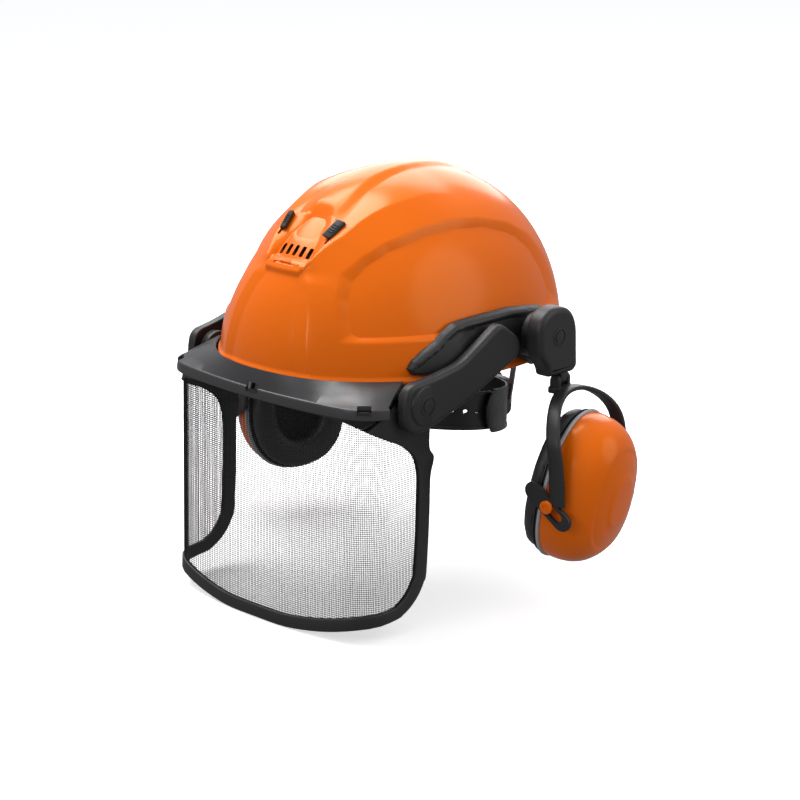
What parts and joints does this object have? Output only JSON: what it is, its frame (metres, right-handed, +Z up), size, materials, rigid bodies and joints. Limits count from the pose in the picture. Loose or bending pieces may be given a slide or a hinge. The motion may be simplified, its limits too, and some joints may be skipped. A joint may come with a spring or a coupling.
{
  "type": "forestry helmet",
  "caption": "Hard-shell forestry helmet with an adjustable head harness, a lifting wire-mesh visor and swinging ear muffs on spring yokes.",
  "frame": {"origin": "centre of the shell's rim, where the head enters the shell", "axes": "+X the wearer's left, -Y the front of the helmet, +Z up to the crown"},
  "size_m": [0.3896, 0.2872, 0.3186],
  "materials": {
    "orange_shell": "glossy moulded",
    "black_plastic": "fine grained moulded",
    "mesh_wire": "woven wire with a black coating",
    "webbing": "woven webbing",
    "nape_webbing": "woven webbing",
    "foam": "open cell foam",
    "cushion_skin": "soft vinyl skin",
    "seal_grey": "satin moulded",
    "pin_steel": "turned"
  },
  "bodies": {
    "helmet": {"helmet_shell": "orange_shell", "crown_strap_side": "webbing", "crown_strap_diagonal": "webbing", "crown_strap_cross": "webbing", "harness_clip_left": "black_plastic", "harness_clip_rear_left": "black_plastic", "harness_clip_rear_right": "black_plastic", "harness_clip_right": "black_plastic", "harness_clip_front_right": "black_plastic", "harness_clip_front_left": "black_plastic", "headband": "black_plastic", "sweatband": "foam", "carrier_left": "black_plastic", "carrier_right": "black_plastic"},
    "nape": {"nape_band": "black_plastic", "ratchet_housing": "black_plastic", "nape_strap_left": "nape_webbing", "nape_strap_right": "nape_webbing"},
    "ratchet_knob": {"ratchet_knob": "black_plastic", "ratchet_pinion": "black_plastic"},
    "vent_shutter": {"vent_shutter": "black_plastic", "vent_button_left": "black_plastic", "vent_button_right": "black_plastic"},
    "visor_arm_left": {"visor_arm_left": "black_plastic", "visor_arm_pin_left": "pin_steel", "visor_hinge_pin_left": "black_plastic"},
    "visor_arm_right": {"visor_arm_right": "black_plastic", "visor_arm_pin_right": "pin_steel", "visor_hinge_pin_right": "black_plastic"},
    "visor": {"visor_frame": "black_plastic", "visor_mesh": "mesh_wire", "visor_ledge": "black_plastic"},
    "muff_block_left": {"muff_block_left": "black_plastic", "muff_block_pin_left": "black_plastic"},
    "muff_yoke_left": {"muff_yoke_left": "black_plastic", "yoke_hinge_pin_left": "pin_steel"},
    "cup_pins_left": {"cup_pin_front_left": "orange_shell", "cup_pin_rear_left": "orange_shell"},
    "cup_left": {"cup_shell_left": "orange_shell", "cup_ring_left": "seal_grey", "cup_plate_left": "black_plastic", "cup_foam_left": "foam", "cup_cushion_left": "cushion_skin"},
    "muff_block_right": {"muff_block_right": "black_plastic", "muff_block_pin_right": "black_plastic"},
    "muff_yoke_right": {"muff_yoke_right": "black_plastic", "yoke_hinge_pin_right": "pin_steel"},
    "cup_pins_right": {"cup_pin_front_right": "orange_shell", "cup_pin_rear_right": "orange_shell"},
    "cup_right": {"cup_shell_right": "orange_shell", "cup_ring_right": "seal_grey", "cup_plate_right": "black_plastic", "cup_foam_right": "foam", "cup_cushion_right": "cushion_skin"}
  },
  "joints": [
    {"name": "ratchet_turn", "type": "hinge", "parent": "nape", "child": "ratchet_knob", "pos_m": [0, 0.106, -0.058], "axis": [0, 1, 0], "range_deg": [0, 360]},
    {"name": "nape_slide", "type": "slide", "parent": "helmet", "child": "nape", "axis": [0, 1, 0], "range_m": [0, 0.012]},
    {"name": "vent_slide", "type": "slide", "parent": "helmet", "child": "vent_shutter", "axis": [0, -0.7255, -0.6882], "range_m": [0, 0.011]},
    {"name": "visor_lift", "type": "hinge", "parent": "helmet", "child": "visor_arm_left", "pos_m": [0.117, -0.0225, 0.019], "axis": [-1, 0, 0], "range_deg": [0, 100]},
    {"name": "visor_lift_right", "type": "hinge", "parent": "helmet", "child": "visor_arm_right", "pos_m": [-0.117, -0.0225, 0.019], "axis": [-1, 0, 0], "range_deg": [0, 100]},
    {"name": "visor_tilt", "type": "hinge", "parent": "visor_arm_left", "child": "visor", "pos_m": [0.104, -0.0907, -0.0094], "axis": [-1, 0, 0], "range_deg": [-12, 0]},
    {"name": "block_turn_left", "type": "hinge", "parent": "helmet", "child": "muff_block_left", "pos_m": [0.132, 0.024, 0.025], "axis": [-1, 0, 0], "range_deg": [-90, 0]},
    {"name": "yoke_swing_left", "type": "hinge", "parent": "muff_block_left", "child": "muff_yoke_left", "pos_m": [0.132, 0.0352, -0.0096], "axis": [-0.1564, 0.9877, 0], "range_deg": [0, 20]},
    {"name": "cup_height_left", "type": "slide", "parent": "muff_yoke_left", "child": "cup_pins_left", "axis": [0.7783, 0.1233, -0.6157], "range_m": [0, 0.011]},
    {"name": "cup_tilt_left", "type": "hinge", "parent": "cup_pins_left", "child": "cup_left", "pos_m": [0.15274, 0.03848, -0.0916], "axis": [-0.1564, 0.9877, 0], "range_deg": [-12, 12]},
    {"name": "block_turn_right", "type": "hinge", "parent": "helmet", "child": "muff_block_right", "pos_m": [-0.132, 0.024, 0.025], "axis": [-1, 0, 0], "range_deg": [-90, 0]},
    {"name": "yoke_swing_right", "type": "hinge", "parent": "muff_block_right", "child": "muff_yoke_right", "pos_m": [-0.132, 0.0352, -0.0096], "axis": [-0.342, -0.9397, 0], "range_deg": [0, 20]},
    {"name": "cup_height_right", "type": "slide", "parent": "muff_yoke_right", "child": "cup_pins_right", "axis": [-0.7969, 0.29, -0.5299], "range_m": [0, 0.011]},
    {"name": "cup_tilt_right", "type": "hinge", "parent": "cup_pins_right", "child": "cup_right", "pos_m": [-0.15968, 0.04528, -0.08896], "axis": [-0.342, -0.9397, 0], "range_deg": [-12, 12]}
  ],
  "couplings": [
    {"joint": "ratchet_turn", "follows": "nape_slide", "rad_per_m": 523.6},
    {"joint": "visor_lift_right", "follows": "visor_lift", "ratio": 1}
  ]
}
